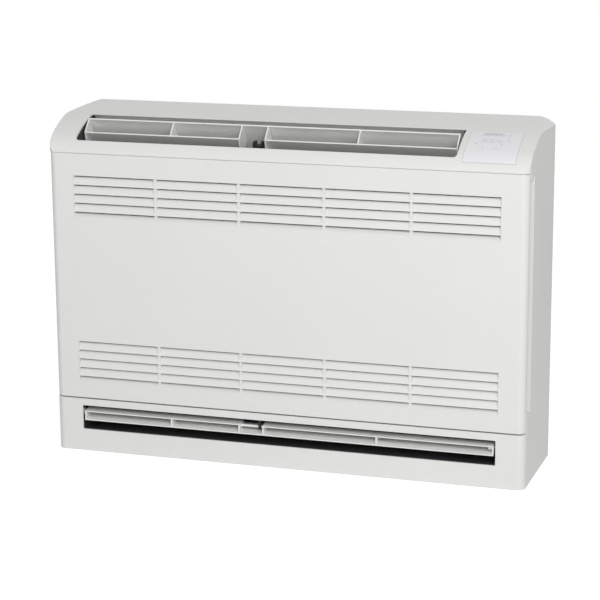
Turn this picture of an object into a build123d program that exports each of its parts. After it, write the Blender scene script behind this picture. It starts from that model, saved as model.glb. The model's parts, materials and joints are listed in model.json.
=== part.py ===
# Floor console air conditioner with an upper and a lower air outlet.
# Lengths are in millimetres. X runs to the viewer's right, the front faces
# negative Y and Z points up. The unit stands on Z = 0, and its wall bracket
# ends in the plane of the wall at Y = WALL_Y. Both louvres are drawn open.

import os
from math import acos, cos, degrees, radians, sin

from build123d import *

os.makedirs("parts", exist_ok=True)

# Overall size
WIDTH = 860.0
FRONT_WIDTH = 849.0
HEIGHT = 606.0
FRONT_Y = -106.0
LOWER_FRONT_Y = -104.5
CASING_BACK_Y = 94.0
WALL_Y = 106.0
CASING_WALL = 3.0
CORNER_RADIUS = 14.0
SHOULDER_RADIUS = 48.3
SHOULDER_X = 396.0
OVERRUN = 20.0

# Fits and gaps
RUNNING_FIT = 0.05
SEAT_GAP = 0.3
SHEET = 1.6

# Curved top, drawn in the plane of Y and Z as two arcs and a straight back
CAP_FRONT_RADIUS = 68.7
CAP_FRONT_CENTRE = (-44.06, 511.27)
CAP_TOP_RADIUS = 217.2
CAP_START_ANGLE = 154.4
CAP_JOIN_ANGLE = 119.6
CAP_END_ANGLE = 95.1
CAP_LIP_Z = 541.0

# Front panel and its two slatted fields
PANEL_Y = -105.0
PANEL_SKIN = 2.5
PANEL_SIDE_GAP = 1.2
PANEL_BOTTOM = 99.0
PANEL_TOP = 540.0
PANEL_BACK_Y = -91.0
POCKET_Y = -90.0
SEAM_Z = 96.5
SLAT_FIELDS = (500.9, 202.7)
SLAT_PITCH = 16.0
SLAT_COUNT = 5
SLAT_HALF_WIDTH = 378.0
SLAT_RECESS = 6.0
SLAT_GAP = 2.5
SLAT_THICK = 2.2
SLAT_FADE = 9.0
MULLION_WIDTH = 5.5
HINGE_Y = -100.5
HINGE_Z = 102.5
HINGE_RADIUS = 1.8
HINGE_X = 392.0

# Upper outlet and louvre
UPPER_LEFT = -378.0
UPPER_RIGHT = 299.5
UPPER_FRONT_Y = -91.0
UPPER_REAR_Y = -13.0
UPPER_PIVOT = (-45.2, 545.0)
UPPER_TURN = -78.6
UPPER_SWEEP = 58.6
UPPER_LOUVRE_LEFT = -375.0
UPPER_LOUVRE_RIGHT = 294.0
UPPER_GAP_RIBS = (-89.0, -42.0)
UPPER_RIBS = (-215.0, 121.5)
VANE_THICK = 2.5
RIB_THICK = 2.5

# Lower outlet and louvre
LOWER_HALF_WIDTH = 375.0
LOWER_BOTTOM = 40.0
LOWER_TOP = 84.0
LOWER_PIVOT = (-92.8, 69.3)
LOWER_TURN = 100.0
LOWER_LOUVRE_END = 371.5
LOWER_GAP_RIBS = (-81.0, -37.0)
LOWER_RIBS = (-207.0, 167.0)

PIN_RADIUS = 2.5
BUSH_RADIUS = 4.4

# Fan, air chamber and chassis
FAN_X = -40.0
FAN_Z = 305.0
FAN_RADIUS = 170.0
FAN_BLADES = 7
EYE_RADIUS = 108.0
MOUTH_RADIUS = 102.0
SHAFT_RADIUS = 5.0
CHAMBER_LEFT = -381.0
CHAMBER_RIGHT = 302.3
CHAMBER_BOTTOM = 118.0
CHAMBER_TOP = 505.0
CHASSIS_WALL = 2.5
BACK_WALL_Y = 86.0
BACK_WALL_THICK = 3.0
CHASSIS_HALF_WIDTH = 415.0
CHASSIS_TOP = 585.0
MOUTH_PLATE_Y = -40.0
MOUTH_PLATE_THICK = 3.0
SIDE_PLATE_X = 408.0

# Intake side
FRAME_OPENING_X = 392.0
FRAME_OPENING_BOTTOM = 112.0
FRAME_OPENING_TOP = 526.0
FRAME_BACK_Y = -87.5
COIL_LEFT = -370.0
COIL_RIGHT = 276.0
COIL_FRONT_Y = -75.0
COIL_BACK_Y = -49.0
COIL_BOTTOM = 123.0
COIL_TOP = 500.0
TUBE_RADIUS = 3.5
TUBE_PITCH = 38.0
TUBE_COUNT = 10
TUBE_FIRST_Z = 145.0
TUBE_Y = -62.0

SCREW_RADIUS = 1.6
SCREW_HEAD_RADIUS = 3.4
SCREW_HEAD = 2.2
CASING_SCREWS = [(side * 400.0, z) for side in (-1, 1) for z in (104.0, 519.0)]


def polar(centre, radius, angle):
    """Point of a circle in the plane of Y and Z."""
    return (centre[0] + radius * cos(radians(angle)), centre[1] + radius * sin(radians(angle)))


CAP_TOP_CENTRE = polar(CAP_FRONT_CENTRE, CAP_FRONT_RADIUS - CAP_TOP_RADIUS, CAP_JOIN_ANGLE)
CAP_BACK_SLOPE = radians(CAP_END_ANGLE - 90.0)


def front_plane(y):
    """Drawing plane at depth y. Extruding goes forward, towards the viewer."""
    return Plane.XZ.offset(-y)


def side_plane(x):
    """Drawing plane across the unit at x. Extruding goes to the right."""
    return Plane.YZ.offset(x)


def turned_plane(x, pivot, angle):
    """Side plane with its origin on a louvre pivot, turned about that pivot."""
    x_dir = (0, cos(radians(angle)), sin(radians(angle)))
    return Plane(origin=(x, pivot[0], pivot[1]), x_dir=x_dir, z_dir=(1, 0, 0))


def bar(x_range, y_range, z_range, mode=Mode.ADD):
    """Box given by its limits along the three axes."""
    centre = [(low + high) / 2 for low, high in (x_range, y_range, z_range)]
    with Locations(tuple(centre)):
        Box(
            x_range[1] - x_range[0],
            y_range[1] - y_range[0],
            z_range[1] - z_range[0],
            mode=mode,
        )


def slab(points, x_start, length, mode=Mode.ADD):
    """Closed outline in Y and Z, extruded to the right."""
    with BuildSketch(side_plane(x_start)) as profile:
        with BuildLine():
            Polyline(*points, close=True)
        make_face()
    extrude(profile.sketch, amount=length, mode=mode)


def rod_x(radius, x_start, length, pivot, mode=Mode.ADD):
    """Round bar along X about a pivot."""
    with BuildSketch(side_plane(x_start)) as profile:
        with Locations(pivot):
            Circle(radius)
    extrude(profile.sketch, amount=length, mode=mode)


def rod_y(radius, y_front, y_back, places, mode=Mode.ADD):
    """Round bars along Y at one or more places in X and Z."""
    with BuildSketch(front_plane(y_back)) as profile:
        with Locations(*places):
            Circle(radius)
    extrude(profile.sketch, amount=y_back - y_front, mode=mode)


def cap_angle(y, inset=0.0):
    """Centre of the cap arc that lies over y, its radius, and the angle."""
    join_y = polar(CAP_FRONT_CENTRE, CAP_FRONT_RADIUS, CAP_JOIN_ANGLE)[0]
    centre = CAP_FRONT_CENTRE if y < join_y else CAP_TOP_CENTRE
    radius = (CAP_FRONT_RADIUS if y < join_y else CAP_TOP_RADIUS) - inset
    return centre, radius, degrees(acos((y - centre[0]) / radius))


def cap_height(y, inset=0.0):
    """Height of the cap surface over y, moved inward by inset."""
    centre, radius, angle = cap_angle(y, inset)
    return polar(centre, radius, angle)[1]


def cap_band(thickness, y_front, y_rear):
    """Outline of a band that follows the cap surface between two depths."""
    front_angle = cap_angle(y_front)[2]
    rear_angle = cap_angle(y_rear)[2]
    inner_front = CAP_FRONT_RADIUS - thickness
    inner_top = CAP_TOP_RADIUS - thickness
    front_turn = CAP_JOIN_ANGLE - front_angle
    top_turn = rear_angle - CAP_JOIN_ANGLE
    with BuildLine() as outline:
        CenterArc(CAP_FRONT_CENTRE, CAP_FRONT_RADIUS, front_angle, front_turn)
        CenterArc(CAP_TOP_CENTRE, CAP_TOP_RADIUS, CAP_JOIN_ANGLE, top_turn)
        CenterArc(CAP_FRONT_CENTRE, inner_front, front_angle, front_turn)
        CenterArc(CAP_TOP_CENTRE, inner_top, CAP_JOIN_ANGLE, top_turn)
        Line(
            polar(CAP_FRONT_CENTRE, CAP_FRONT_RADIUS, front_angle),
            polar(CAP_FRONT_CENTRE, inner_front, front_angle),
        )
        Line(
            polar(CAP_TOP_CENTRE, CAP_TOP_RADIUS, rear_angle),
            polar(CAP_TOP_CENTRE, inner_top, rear_angle),
        )
    make_face(outline.line)


def half_width(y):
    """Half the width of the casing at a depth. The sides lean in to the front."""
    share = (y - FRONT_Y) / (CASING_BACK_Y - FRONT_Y)
    return (FRONT_WIDTH + share * (WIDTH - FRONT_WIDTH)) / 2


def plan_outline(front_y, side_gap, radius):
    """Plan of the casing or the panel, drawn on past the back."""
    back_y = CASING_BACK_Y + OVERRUN
    front = half_width(front_y) - side_gap
    back = half_width(back_y) - side_gap
    with BuildLine() as outline:
        Polyline((-front, front_y), (front, front_y), (back, back_y), (-back, back_y), close=True)
    face = make_face(outline.line)
    fillet(face.vertices().group_by(Axis.Y)[0], radius)


def casing_block(front_y, inset, bottom, top):
    """Solid within the outer skin, moved inward by inset, between two heights."""
    back_y = CASING_BACK_Y + OVERRUN
    start = polar(CAP_FRONT_CENTRE, CAP_FRONT_RADIUS, CAP_START_ANGLE)
    slope = radians(CAP_START_ANGLE - 90.0)
    foot = (start[0] - 4 * cos(slope), start[1] - 4 * sin(slope))
    end = polar(CAP_TOP_CENTRE, CAP_TOP_RADIUS, CAP_END_ANGLE)
    rear = (back_y, end[1] + (back_y - end[0]) * sin(CAP_BACK_SLOPE) / cos(CAP_BACK_SLOPE))
    with BuildPart() as block:
        with BuildSketch(side_plane(-WIDTH)):
            with BuildLine():
                Line(foot, start)
                CenterArc(
                    CAP_FRONT_CENTRE, CAP_FRONT_RADIUS, CAP_START_ANGLE, CAP_JOIN_ANGLE - CAP_START_ANGLE
                )
                CenterArc(
                    CAP_TOP_CENTRE, CAP_TOP_RADIUS, CAP_JOIN_ANGLE, CAP_END_ANGLE - CAP_JOIN_ANGLE
                )
                Polyline(end, rear, (back_y, -OVERRUN), (foot[0], -OVERRUN), foot)
            make_face()
            if inset:
                offset(amount=-inset)
        extrude(amount=2 * WIDTH)
        with BuildSketch(Plane.XY.offset(bottom)):
            plan_outline(front_y, 0.0, CORNER_RADIUS)
            if inset:
                offset(amount=-inset)
        extrude(amount=top - bottom, mode=Mode.INTERSECT)
        with BuildSketch(front_plane(back_y)):
            shoulder_z = HEIGHT / 2 + 0.5
            with Locations((0, shoulder_z - OVERRUN)):
                Rectangle(
                    2 * (SHOULDER_X + SHOULDER_RADIUS - inset),
                    HEIGHT + 2 * OVERRUN - 2 * inset,
                )
            fillet(vertices().group_by(Axis.Y)[-1], SHOULDER_RADIUS - inset)
        extrude(amount=2 * WIDTH, mode=Mode.INTERSECT)
    return block.part


def scoop(margin):
    """Finger recess in the right side, behind the edge of the front panel."""
    with BuildPart() as recess:
        with BuildSketch(Plane.XY.offset(SEAM_Z)):
            with BuildLine():
                Polyline((412, -96), (412, -88), (440, -42), (440, -96), close=True)
            make_face()
            if margin:
                offset(amount=margin, kind=Kind.INTERSECTION)
        extrude(amount=CAP_LIP_Z - SEAM_Z)
        with BuildSketch(front_plane(CASING_BACK_Y)):
            with BuildLine():
                Polyline((412, 130), (412, 500), (429, 541), (445, 541), (445, 130), close=True)
            make_face()
            fillet(vertices().sort_by(lambda v: v.X + v.Y)[0], 12)
            if margin:
                offset(amount=margin, kind=Kind.INTERSECTION)
        extrude(amount=2 * CASING_BACK_Y, mode=Mode.INTERSECT)
        mirror(about=Plane.YZ)
    return recess.part


# Local planes for the parts of the control plate
def cap_plane(x, y, depth):
    """Plane that touches the cap over (x, y), sunk below it by depth."""
    centre, radius, angle = cap_angle(y)
    origin = polar(centre, radius - depth, angle)
    normal = (0, cos(radians(angle)), sin(radians(angle)))
    return Plane(origin=(x, origin[0], origin[1]), x_dir=(1, 0, 0), z_dir=normal)


PLATE_LEFT = 310.0
PLATE_RIGHT = 399.0
PLATE_FRONT_Y = -97.0
PLATE_REAR_Y = -20.0
PLATE_THICK = 1.6
PLATE_GAP = 0.25
BUTTON = (348.0, -71.0)
BUTTON_SIZE = (18.0, 7.0)
BUTTON_TRAVEL = 1.0
WINDOW = (349.0, -29.0)
WINDOW_SIZE = (30.0, 6.0)
LENSES = [(335.0, -50.0), (350.0, -50.0), (365.0, -50.0), (325.0, -60.0), (368.0, -60.0)]
LENS_RADIUS = 1.5
BOARD_CENTRE = (350.0, -55.0)
BOARD_DEPTH = 13.0
BOARD_SIZE = (80.0, 62.0)
BOARD_POSTS = [(x, y) for x in (-34, 34) for y in (-26, 26)]


# Outer casing: curved top, both sides and the lower front in one moulding
with BuildPart() as casing_frame:
    bar((-427, 427), (POCKET_Y, FRAME_BACK_Y), (SEAM_Z - 2, CAP_LIP_Z + 2))
    bar(
        (-FRAME_OPENING_X, FRAME_OPENING_X),
        (-95, -80),
        (FRAME_OPENING_BOTTOM, FRAME_OPENING_TOP),
        mode=Mode.SUBTRACT,
    )
    bar((-427, 427), (-104.3, FRAME_BACK_Y), (CAP_LIP_Z, CAP_LIP_Z + 2))
    bar((-427, 427), (-103, FRAME_BACK_Y), (SEAM_Z - 2, SEAM_Z))
    bar((-429, 429), (CASING_BACK_Y - 3, CASING_BACK_Y), (0, HEIGHT))
    bar(
        (-CHASSIS_HALF_WIDTH - SEAT_GAP, CHASSIS_HALF_WIDTH + SEAT_GAP),
        (CASING_BACK_Y - 5, CASING_BACK_Y + 2),
        (-1, CHASSIS_TOP + SEAT_GAP),
        mode=Mode.SUBTRACT,
    )
    add(scoop(CASING_WALL))
    with BuildSketch(cap_plane(*BOARD_CENTRE, BOARD_DEPTH)):
        with Locations(*BOARD_POSTS):
            Circle(3)
    extrude(amount=20)
    add(casing_block(FRONT_Y, CASING_WALL / 2, 0, HEIGHT + OVERRUN), mode=Mode.INTERSECT)

with BuildPart() as casing:
    add(casing_block(FRONT_Y, 0, SEAM_Z, HEIGHT + OVERRUN))
    add(casing_block(LOWER_FRONT_Y, 0, 0, SEAM_Z))
    add(casing_block(FRONT_Y, CASING_WALL, SEAM_Z, HEIGHT + OVERRUN), mode=Mode.SUBTRACT)
    add(casing_block(LOWER_FRONT_Y, CASING_WALL, -OVERRUN, SEAM_Z), mode=Mode.SUBTRACT)
    bar((-WIDTH, WIDTH), (CASING_BACK_Y, 300), (-OVERRUN, 2 * HEIGHT), mode=Mode.SUBTRACT)
    add(casing_frame.part)
    # Pocket of the front panel, and the finger recesses behind its edges
    bar((-WIDTH, WIDTH), (-140, POCKET_Y), (SEAM_Z, CAP_LIP_Z), mode=Mode.SUBTRACT)
    add(scoop(0), mode=Mode.SUBTRACT)
    # Upper outlet: a straight opening and a cove behind the swinging vane
    with BuildSketch(Plane.XY.offset(UPPER_PIVOT[1])):
        with Locations(((UPPER_LEFT + UPPER_RIGHT) / 2, (UPPER_FRONT_Y + UPPER_REAR_Y) / 2)):
            Rectangle(UPPER_RIGHT - UPPER_LEFT, UPPER_REAR_Y - UPPER_FRONT_Y)
        fillet(vertices().group_by(Axis.Y)[0], 6)
    extrude(amount=HEIGHT, mode=Mode.SUBTRACT)
    with BuildSketch(side_plane(UPPER_LEFT)):
        with Locations(UPPER_PIVOT):
            Circle(UPPER_SWEEP)
        with Locations((UPPER_REAR_Y, 580)):
            Rectangle(60, 60, mode=Mode.INTERSECT)
    extrude(amount=UPPER_RIGHT - UPPER_LEFT, mode=Mode.SUBTRACT)
    # Lower outlet
    with BuildSketch(front_plane(-95)):
        with Locations((0, (LOWER_BOTTOM + LOWER_TOP) / 2)):
            RectangleRounded(2 * LOWER_HALF_WIDTH, LOWER_TOP - LOWER_BOTTOM, 2)
    extrude(amount=30, mode=Mode.SUBTRACT)
    # Seat of the control plate, with holes for what looks through it
    with BuildSketch(side_plane(PLATE_LEFT - PLATE_GAP)):
        cap_band(PLATE_THICK, PLATE_FRONT_Y - PLATE_GAP, PLATE_REAR_Y + PLATE_GAP)
    extrude(amount=PLATE_RIGHT - PLATE_LEFT + 2 * PLATE_GAP, mode=Mode.SUBTRACT)
    with BuildSketch(cap_plane(*BUTTON, 5)):
        Rectangle(BUTTON_SIZE[0] + 3, BUTTON_SIZE[1] + 3)
    extrude(amount=10, mode=Mode.SUBTRACT)
    with BuildSketch(cap_plane(*WINDOW, 5)):
        Rectangle(WINDOW_SIZE[0] + PLATE_GAP, WINDOW_SIZE[1] + PLATE_GAP)
    extrude(amount=10, mode=Mode.SUBTRACT)
    for place in LENSES:
        with BuildSketch(cap_plane(*place, 5)):
            Circle(LENS_RADIUS + RUNNING_FIT)
        extrude(amount=10, mode=Mode.SUBTRACT)
    rod_y(SCREW_RADIUS + SEAT_GAP, -95, -85, CASING_SCREWS, mode=Mode.SUBTRACT)
casing.part.label = "casing"
export_step(casing.part, "parts/casing.step")


# Control plate, flush in the cap, with its button, window and lenses
with BuildPart() as control_plate:
    with BuildSketch(side_plane(PLATE_LEFT)):
        cap_band(PLATE_THICK, PLATE_FRONT_Y, PLATE_REAR_Y)
    extrude(amount=PLATE_RIGHT - PLATE_LEFT)
    with BuildSketch(cap_plane(*BUTTON, 5)):
        RectangleRounded(BUTTON_SIZE[0] + 0.6, BUTTON_SIZE[1] + 0.6, 2.3)
    extrude(amount=10, mode=Mode.SUBTRACT)
    with BuildSketch(cap_plane(*WINDOW, 5)):
        Rectangle(WINDOW_SIZE[0] + PLATE_GAP, WINDOW_SIZE[1] + PLATE_GAP)
    extrude(amount=10, mode=Mode.SUBTRACT)
    for place in LENSES:
        with BuildSketch(cap_plane(*place, 5)):
            Circle(LENS_RADIUS + RUNNING_FIT)
        extrude(amount=10, mode=Mode.SUBTRACT)
control_plate.part.label = "control_plate"
export_step(control_plate.part, "parts/control_plate.step")

with BuildPart() as push_button:
    with BuildSketch(cap_plane(*BUTTON, 1.9)):
        RectangleRounded(BUTTON_SIZE[0], BUTTON_SIZE[1], 2)
    extrude(amount=2.4)
    fillet(push_button.faces().sort_by(Axis.Z)[-1].edges(), 0.4)
    with BuildSketch(cap_plane(*BUTTON, 1.9)):
        Circle(2)
    extrude(amount=-6)
push_button.part.label = "push_button"
export_step(push_button.part, "parts/push_button.step")

with BuildPart() as receiver_window:
    with BuildSketch(cap_plane(*WINDOW, 3)):
        Rectangle(*WINDOW_SIZE)
    extrude(amount=5)
    add(casing_block(FRONT_Y, 0, 0, HEIGHT), mode=Mode.INTERSECT)
receiver_window.part.label = "receiver_window"
export_step(receiver_window.part, "parts/receiver_window.step")

with BuildPart() as indicator_lenses:
    for place in LENSES:
        with BuildSketch(cap_plane(*place, 3)):
            Circle(LENS_RADIUS)
        extrude(amount=3)
indicator_lenses.part.label = "indicator_lenses"
export_step(indicator_lenses.part, "parts/indicator_lenses.step")

with BuildPart() as display_board:
    with BuildSketch(cap_plane(*BOARD_CENTRE, BOARD_DEPTH)):
        Rectangle(*BOARD_SIZE)
    extrude(amount=-SHEET)
display_board.part.label = "display_board"
export_step(display_board.part, "parts/display_board.step")


# Front panel with its corners wrapped round and two fields of slats
with BuildPart() as front_panel:
    for inset, mode in ((0.0, Mode.ADD), (PANEL_SKIN, Mode.SUBTRACT)):
        with BuildSketch(Plane.XY.offset(PANEL_BOTTOM)):
            plan_outline(PANEL_Y, PANEL_SIDE_GAP, CORNER_RADIUS - 1)
            if inset:
                offset(amount=-inset)
        extrude(amount=PANEL_TOP - PANEL_BOTTOM, mode=mode)
    bar((-WIDTH, WIDTH), (PANEL_BACK_Y, 300), (0, HEIGHT), mode=Mode.SUBTRACT)
    bar((-418, 418), (-103, -96), (PANEL_TOP - 2, PANEL_TOP))
    for first in SLAT_FIELDS:
        last = first - (SLAT_COUNT - 1) * SLAT_PITCH
        foot = last - SLAT_FADE
        bar((-SLAT_HALF_WIDTH, SLAT_HALF_WIDTH), (-110, -100), (foot, first), mode=Mode.SUBTRACT)
        for side in (-1, 1):
            ends = sorted((side * SLAT_HALF_WIDTH, side * (SLAT_HALF_WIDTH + 2)))
            bar(ends, (-104, -96), (foot - 2, first + 2))
        for row in range(1, SLAT_COUNT + 1):
            top = first - (row - 1) * SLAT_PITCH - SLAT_GAP
            low = foot if row == SLAT_COUNT else first - row * SLAT_PITCH
            back = PANEL_Y + SLAT_RECESS
            points = (
                (PANEL_Y, low),
                (back, top),
                (back + SLAT_THICK, top),
                (PANEL_Y + SLAT_THICK, low),
            )
            slab(points, -SLAT_HALF_WIDTH, 2 * SLAT_HALF_WIDTH)
        for share in (-0.6, -0.2, 0.2, 0.6):
            middle = share * SLAT_HALF_WIDTH
            width = (middle - MULLION_WIDTH / 2, middle + MULLION_WIDTH / 2)
            bar(width, (-103.5, -96), (foot, first))
    # Hinge lugs at the bottom and catch tabs at the top
    for side in (-1, 1):
        with BuildSketch(side_plane(side * (HINGE_X + 7) - 2)):
            with Locations((HINGE_Y, HINGE_Z)):
                Circle(3.4)
                with Locations((-1.5, 0)):
                    Rectangle(2.6, 6.8)
                Circle(HINGE_RADIUS + RUNNING_FIT, mode=Mode.SUBTRACT)
        extrude(amount=4)
        bar((side * 300 - 6, side * 300 + 6), (-103, -92.5), (533.2, 534.8))
front_panel.part.label = "front_panel"
export_step(front_panel.part, "parts/front_panel.step")

with BuildPart() as panel_hinge_brackets:
    for side in (-1, 1):
        base = sorted((side * 386.0, side * 396.0))
        bar(base, (-92, POCKET_Y), (98, 109))
        arm = sorted((side * 392.0, side * 396.0))
        bar(arm, (HINGE_Y, -92), (HINGE_Z - HINGE_RADIUS, HINGE_Z + HINGE_RADIUS))
        pin = min(side * 392.0, side * 402.0)
        rod_x(HINGE_RADIUS, pin, 10, (HINGE_Y, HINGE_Z))
panel_hinge_brackets.part.label = "panel_hinge_brackets"
export_step(panel_hinge_brackets.part, "parts/panel_hinge_brackets.step")

with BuildPart() as panel_catches:
    for side in (-1, 1):
        bar((side * 300 - 12, side * 300 + 12), (-96, POCKET_Y), (529, 539))
        bar((side * 300 - 8, side * 300 + 8), (-97, -91.2), (532.2, 535.8), mode=Mode.SUBTRACT)
panel_catches.part.label = "panel_catches"
export_step(panel_catches.part, "parts/panel_catches.step")


# Upper louvre: wide vane, ribs, end plates and pins, drawn in the open pose
RIB_OUTLINE = ((-38, 590), (-55.5, 570.5), (-36.5, 551.5), (-24, 549), (-17.5, 561), (-31.5, 585))
FRONT_VANE = ((-55.5, 570.5), (-36.5, 551.5), (-38.3, 549.7), (-57.3, 568.7))
PLATE_OUTLINE = (
    (-38, 590),
    (-57.3, 570.5),
    (-57.3, 568.7),
    (-51.6, 546.6),
    (-41, 539.8),
    (-24, 549),
    (-17.5, 561),
    (-31.5, 585),
)
UPPER_CLOSED = (-89.0, -16.5)
UPPER_SHAFT_END = 319.0
DUCT_LEFT = -378.7
DUCT_RIGHT = 300.0
DUCT_WALL = 2.0


with BuildSketch(side_plane(0)) as closed_vane:
    cap_band(VANE_THICK, *UPPER_CLOSED)

with BuildPart() as upper_louvre:
    with BuildSketch(turned_plane(UPPER_LOUVRE_LEFT, UPPER_PIVOT, UPPER_TURN)):
        with Locations((-UPPER_PIVOT[0], -UPPER_PIVOT[1])):
            add(closed_vane.sketch_local)
    extrude(amount=UPPER_LOUVRE_RIGHT - UPPER_LOUVRE_LEFT)
    for x in UPPER_RIBS:
        slab(RIB_OUTLINE, x - RIB_THICK / 2, RIB_THICK)
    plates = (
        UPPER_LOUVRE_LEFT,
        UPPER_GAP_RIBS[0] - RIB_THICK / 2,
        UPPER_GAP_RIBS[1] - RIB_THICK / 2,
        UPPER_LOUVRE_RIGHT - RIB_THICK,
    )
    for x in plates:
        slab(PLATE_OUTLINE, x, RIB_THICK)
        rod_x(6.5, x, RIB_THICK, UPPER_PIVOT)
    rod_x(PIN_RADIUS, UPPER_GAP_RIBS[0], UPPER_GAP_RIBS[1] - UPPER_GAP_RIBS[0], UPPER_PIVOT)
    rod_x(PIN_RADIUS, UPPER_LOUVRE_LEFT - 7, 8, UPPER_PIVOT)
    rod_x(5.5, UPPER_LOUVRE_RIGHT - 10, 10, UPPER_PIVOT)
    rod_x(PIN_RADIUS, UPPER_LOUVRE_RIGHT - 9, 12, UPPER_PIVOT, mode=Mode.SUBTRACT)
upper_louvre.part.label = "upper_louvre"
export_step(upper_louvre.part, "parts/upper_louvre.step")

with BuildPart() as upper_front_vane_left:
    left_end = UPPER_LOUVRE_LEFT + RIB_THICK
    slab(FRONT_VANE, left_end, UPPER_GAP_RIBS[0] - RIB_THICK / 2 - left_end)
upper_front_vane_left.part.label = "upper_front_vane_left"
export_step(upper_front_vane_left.part, "parts/upper_front_vane_left.step")

with BuildPart() as upper_front_vane_right:
    left_end = UPPER_GAP_RIBS[1] + RIB_THICK / 2
    slab(FRONT_VANE, left_end, UPPER_LOUVRE_RIGHT - RIB_THICK - left_end)
upper_front_vane_right.part.label = "upper_front_vane_right"
export_step(upper_front_vane_right.part, "parts/upper_front_vane_right.step")

with BuildPart() as upper_louvre_shaft:
    rod_x(PIN_RADIUS, UPPER_LOUVRE_RIGHT - 9, UPPER_SHAFT_END - UPPER_LOUVRE_RIGHT + 9, UPPER_PIVOT)
upper_louvre_shaft.part.label = "upper_louvre_shaft"
export_step(upper_louvre_shaft.part, "parts/upper_louvre_shaft.step")

with BuildPart() as upper_bearing:
    slab(((-75, 537), (-50, 515.7), (-38, 541), (-39, 550), (-51.5, 550)), -66, 21)
    rod_x(7, -66, 21, UPPER_PIVOT)
    rod_x(PIN_RADIUS + RUNNING_FIT, -67, 23, UPPER_PIVOT, mode=Mode.SUBTRACT)
upper_bearing.part.label = "upper_bearing"
export_step(upper_bearing.part, "parts/upper_bearing.step")

with BuildPart() as upper_bush:
    rod_x(BUSH_RADIUS, DUCT_LEFT - DUCT_WALL - 1, DUCT_WALL + 1, UPPER_PIVOT)
    rod_x(6.5, DUCT_LEFT, 1.5, UPPER_PIVOT)
    rod_x(PIN_RADIUS + RUNNING_FIT, DUCT_LEFT - 6, 12, UPPER_PIVOT, mode=Mode.SUBTRACT)
upper_bush.part.label = "upper_bush"
export_step(upper_bush.part, "parts/upper_bush.step")


def louvre_motor(x, pivot):
    """Small gear motor whose bore stands off its own centre towards the front."""
    centre = (pivot[0] + 8, pivot[1])
    rod_x(14, x, 19, centre)
    with BuildSketch(side_plane(x)) as ears:
        with Locations(centre):
            SlotCenterToCenter(35, 7, rotation=90)
    extrude(ears.sketch, amount=1)
    rod_x(PIN_RADIUS + RUNNING_FIT, x - 1, 19, pivot, mode=Mode.SUBTRACT)
    with BuildSketch(side_plane(x)) as holes:
        with Locations(*[(centre[0], centre[1] + side * 17.5) for side in (-1, 1)]):
            Circle(SCREW_RADIUS + RUNNING_FIT)
    extrude(holes.sketch, amount=1, mode=Mode.SUBTRACT)


with BuildPart() as upper_louvre_motor:
    louvre_motor(DUCT_RIGHT + DUCT_WALL, UPPER_PIVOT)
upper_louvre_motor.part.label = "upper_louvre_motor"
export_step(upper_louvre_motor.part, "parts/upper_louvre_motor.step")

# Upper duct between the fan chamber and the upper outlet
UPPER_DUCT_SIDE = [(-93.5, 553.5), (-93.5, 550), (-40.8, CHAMBER_TOP), (43.6, CHAMBER_TOP)]
UPPER_DUCT_SIDE += [(17.5, 521), (17.5, cap_height(17.5, 3.5)), (-13, cap_height(-13, 3.5))]
UPPER_DUCT_SIDE += [(-45, cap_height(-45, 3.5)), (-76, cap_height(-76, 3.5))]

with BuildPart() as upper_duct:
    left = DUCT_LEFT - DUCT_WALL
    length = DUCT_RIGHT + DUCT_WALL - left
    front = [(-91.5, 553.5), (-91.5, 551), (-37.6, CHAMBER_TOP), (-40.8, CHAMBER_TOP)]
    slab(front + [(-93.5, 550), (-93.5, 553.5)], left, length)
    rear = [(15.5, cap_height(15.5, 3.5)), (17.5, cap_height(17.5, 3.5)), (17.5, 521)]
    slab(rear + [(BACK_WALL_Y, 479), (BACK_WALL_Y, 476.6), (15.5, 519.8)], left, length)
    for x in (left, DUCT_RIGHT):
        slab(UPPER_DUCT_SIDE, x, DUCT_WALL)
    rod_x(BUSH_RADIUS + RUNNING_FIT, left - 1, 4, UPPER_PIVOT, mode=Mode.SUBTRACT)
    rod_x(4, DUCT_RIGHT - 1, 4, UPPER_PIVOT, mode=Mode.SUBTRACT)
    with BuildSketch(side_plane(DUCT_RIGHT - 1)):
        with Locations(*[(UPPER_PIVOT[0] + 8, UPPER_PIVOT[1] + side * 17.5) for side in (-1, 1)]):
            Circle(SCREW_RADIUS + RUNNING_FIT)
    extrude(amount=4, mode=Mode.SUBTRACT)
upper_duct.part.label = "upper_duct"
export_step(upper_duct.part, "parts/upper_duct.step")


# Lower louvre, drawn in its own closed position and turned open about its pivot
LOWER_VANE = ((-10.7, -27.3), (-10.7, 13.2), (-8.5, 13.2), (-8.5, -27.3))
LOWER_FRONT_VANE = ((3.3, -8.8), (3.3, 8.7), (5.3, 8.7), (5.3, -8.8))
LOWER_RIB = ((-9, -21), (-9, 12), (3.3, 8.7), (3.3, -8.8))
LOWER_PLATE = ((-9, -21), (-9, 12), (5.3, 8.7), (5.3, -8.8))
LOWER_DUCT_HALF = 377.0
LOWER_SHAFT_END = 396.0


def turned_slab(points, x_start, length):
    """Outline about the lower pivot in the closed position, shown turned open."""
    with BuildSketch(turned_plane(x_start, LOWER_PIVOT, LOWER_TURN)) as profile:
        with BuildLine():
            Polyline(*points, close=True)
        make_face()
    extrude(profile.sketch, amount=length)


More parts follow.
